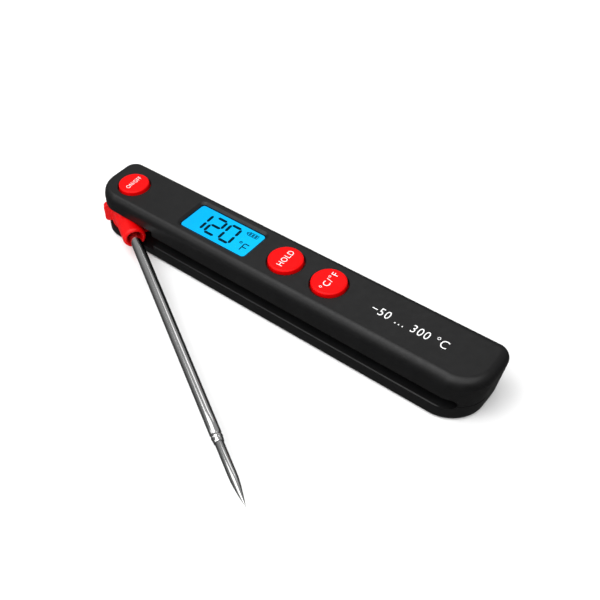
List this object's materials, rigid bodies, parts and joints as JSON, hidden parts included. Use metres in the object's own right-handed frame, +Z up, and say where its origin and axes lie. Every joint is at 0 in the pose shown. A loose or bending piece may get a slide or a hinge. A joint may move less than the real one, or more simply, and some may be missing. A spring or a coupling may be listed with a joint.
{
  "type": "folding meat thermometer",
  "caption": "Slim folding meat thermometer with a display, push buttons, and a pointed steel probe that swings out of a slot in the handle's side.",
  "frame": {"origin": "middle of the handle's flat back face, which the thermometer lies on", "axes": "+X along the handle from the hinge to the far end, +Z up through the display and the buttons, -Y the side that the probe folds into"},
  "size_m": [0.1565, 0.0851, 0.0203],
  "materials": {
    "shell_black": "satin moulded plastic with a fine texture",
    "button_red": "semi-gloss bright red",
    "hub_red": "semi-gloss bright red",
    "display_lens": "clear acrylic over a lit blue display",
    "lcd_glass": "glossy",
    "light_guide": "frosted white",
    "connector_rubber": "soft pink silicone",
    "black_rubber": "matte",
    "switch_plastic": "matte",
    "circuit_board": "green solder mask",
    "epoxy_black": "glossy epoxy",
    "cell_can": "printed foil, no legend",
    "nickel_steel": "nickel plated",
    "screw_steel": "dark zinc",
    "polished_steel": "polished stainless steel",
    "lead_red": "insulated wire",
    "lead_copper": "enamelled copper wire",
    "bush_plastic": "natural acetal"
  },
  "bodies": {
    "handle": {"upper_shell": "shell_black", "lower_shell": "shell_black", "slot_divider": "shell_black", "display_lens": "display_lens", "display_gasket": "black_rubber", "lcd_panel": "lcd_glass", "backlight_guide": "light_guide", "backlight_led": "light_guide", "lcd_connector_strip": "connector_rubber", "main_circuit_board": "circuit_board", "controller_chip": "epoxy_black", "on_off_switch": "switch_plastic", "hold_switch": "switch_plastic", "unit_switch": "switch_plastic", "battery_cell": "cell_can", "battery_spring": "nickel_steel", "negative_contact": "nickel_steel", "positive_contact": "nickel_steel", "positive_lead": "lead_red", "housing_screw_1": "screw_steel", "housing_screw_2": "screw_steel", "housing_screw_3": "screw_steel", "hinge_bush_upper": "bush_plastic", "hinge_bush_lower": "bush_plastic"},
    "probe": {"probe_hub": "hub_red", "probe_tube": "polished_steel", "probe_tip": "polished_steel", "thermistor_bead": "epoxy_black", "sensor_lead_1": "lead_copper", "sensor_lead_2": "lead_copper", "friction_washer": "nickel_steel", "hub_seal": "black_rubber"},
    "on_off_key": {"on_off_button": "button_red", "on_off_switch_plunger": "switch_plastic"},
    "hold_key": {"hold_button": "button_red", "hold_switch_plunger": "switch_plastic"},
    "unit_key": {"unit_button": "button_red", "unit_switch_plunger": "switch_plastic"},
    "door": {"battery_door": "shell_black"}
  },
  "joints": [
    {"name": "probe_hinge", "type": "hinge", "parent": "handle", "child": "probe", "pos_m": [-0.0687, 0, 0.00792], "axis": [0, 0, 1], "range_deg": [-149.16, 30.84]},
    {"name": "on_off_press", "type": "slide", "parent": "handle", "child": "on_off_key", "axis": [0, 0, -1], "range_m": [0, 0.0004], "stiffness_N_per_m": 1500},
    {"name": "hold_press", "type": "slide", "parent": "handle", "child": "hold_key", "axis": [0, 0, -1], "range_m": [0, 0.0004], "stiffness_N_per_m": 1500},
    {"name": "unit_press", "type": "slide", "parent": "handle", "child": "unit_key", "axis": [0, 0, -1], "range_m": [0, 0.0004], "stiffness_N_per_m": 1500},
    {"name": "door_slide", "type": "slide", "parent": "handle", "child": "door", "axis": [1, 0, 0], "range_m": [0, 0.056]}
  ]
}
